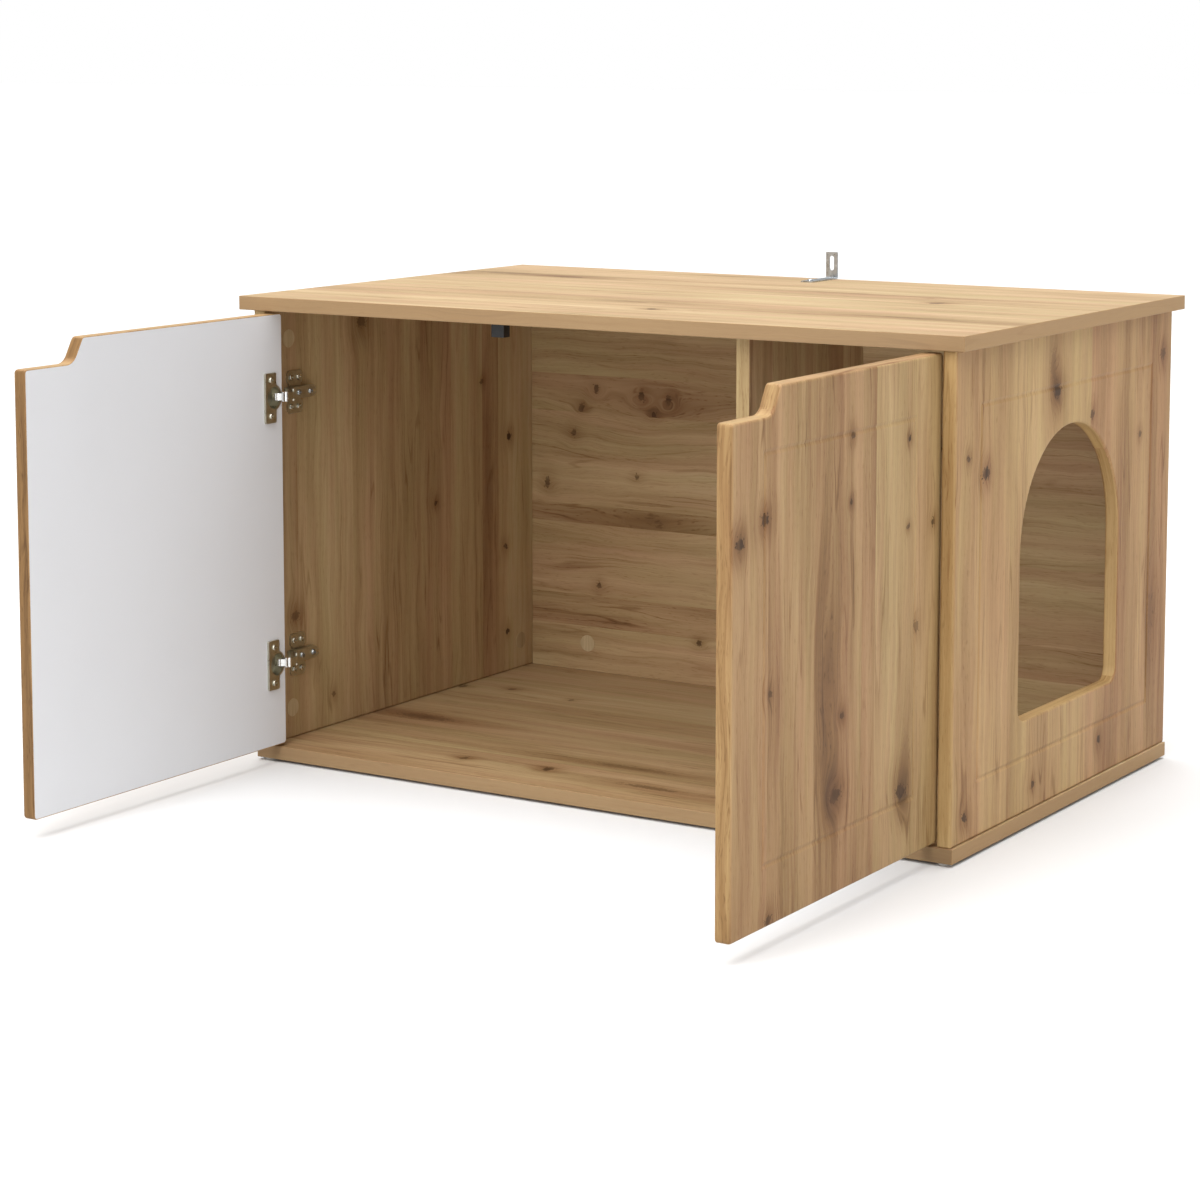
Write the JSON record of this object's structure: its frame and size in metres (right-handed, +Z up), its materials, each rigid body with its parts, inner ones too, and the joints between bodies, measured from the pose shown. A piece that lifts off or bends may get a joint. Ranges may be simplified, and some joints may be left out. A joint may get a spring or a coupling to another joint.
{
  "type": "cat house",
  "caption": "Low wood-effect cabinet for a litter tray, with an arched cat entrance in one side, a half-deep partition and inset doors on concealed hinges.",
  "frame": {"origin": "on the floor, in the middle of the outline that the cabinet has with both doors open at right angles", "axes": "+X to the side panel with the cat entrance, +Y to the back, +Z up"},
  "size_m": [0.86, 0.9326, 0.541],
  "materials": {
    "oak_foil_board": "satin",
    "door_board": "satin",
    "nickel_plated_steel": "polished",
    "polished_link_steel": "polished",
    "zinc_plated_steel": "satin",
    "black_plastic": "matte",
    "white_plastic": "matte",
    "beech": "matte",
    "cam_alloy": "cast",
    "cover_foil": "satin"
  },
  "bodies": {
    "carcass": {"top_panel": "oak_foil_board", "bottom_panel": "oak_foil_board", "left_side_panel": "oak_foil_board", "right_side_panel": "oak_foil_board", "back_panel": "oak_foil_board", "partition_panel": "oak_foil_board", "left_upper_hinge_arm": "nickel_plated_steel", "left_lower_hinge_arm": "nickel_plated_steel", "right_upper_hinge_arm": "nickel_plated_steel", "right_lower_hinge_arm": "nickel_plated_steel", "left_upper_mounting_plate": "nickel_plated_steel", "left_lower_mounting_plate": "nickel_plated_steel", "right_upper_mounting_plate": "nickel_plated_steel", "right_lower_mounting_plate": "nickel_plated_steel", "mounting_plate_screws": "zinc_plated_steel", "hinge_arm_screws": "zinc_plated_steel", "hinge_pivot_pins": "zinc_plated_steel", "door_stop": "black_plastic", "door_stop_screw": "zinc_plated_steel", "wall_bracket": "zinc_plated_steel", "wall_bracket_screw": "zinc_plated_steel", "foot_glides": "white_plastic", "foot_nails": "zinc_plated_steel", "wooden_dowels": "beech", "cam_bolts": "zinc_plated_steel", "cam_discs": "cam_alloy", "cam_covers": "cover_foil"},
    "left_door": {"left_door": "door_board", "left_upper_hinge_cup": "nickel_plated_steel", "left_lower_hinge_cup": "nickel_plated_steel", "left_cup_screws": "zinc_plated_steel"},
    "right_door": {"right_door": "door_board", "right_upper_hinge_cup": "nickel_plated_steel", "right_lower_hinge_cup": "nickel_plated_steel", "right_cup_screws": "zinc_plated_steel"},
    "left_hinge_links": {"left_upper_hinge_link": "polished_link_steel", "left_lower_hinge_link": "polished_link_steel"},
    "right_hinge_links": {"right_upper_hinge_link": "polished_link_steel", "right_lower_hinge_link": "polished_link_steel"}
  },
  "joints": [
    {"name": "left_door_swing", "type": "hinge", "parent": "carcass", "child": "left_door", "pos_m": [-0.3973, -0.07, 0.2565], "axis": [0, 0, 1], "range_deg": [-5, 90]},
    {"name": "right_door_swing", "type": "hinge", "parent": "carcass", "child": "right_door", "pos_m": [0.3973, -0.07, 0.2565], "axis": [0, 0, -1], "range_deg": [-5, 90]},
    {"name": "left_links_turn", "type": "hinge", "parent": "carcass", "child": "left_hinge_links", "pos_m": [-0.3813, -0.0657, 0.2565], "axis": [0, 0, 1], "range_deg": [-55.8, 3.1]},
    {"name": "right_links_turn", "type": "hinge", "parent": "carcass", "child": "right_hinge_links", "pos_m": [0.3813, -0.0657, 0.2565], "axis": [0, 0, -1], "range_deg": [-55.8, 3.1]}
  ],
  "couplings": [
    {"joint": "left_links_turn", "follows": "left_door_swing", "ratio": -0.62},
    {"joint": "right_links_turn", "follows": "right_door_swing", "ratio": -0.62}
  ]
}
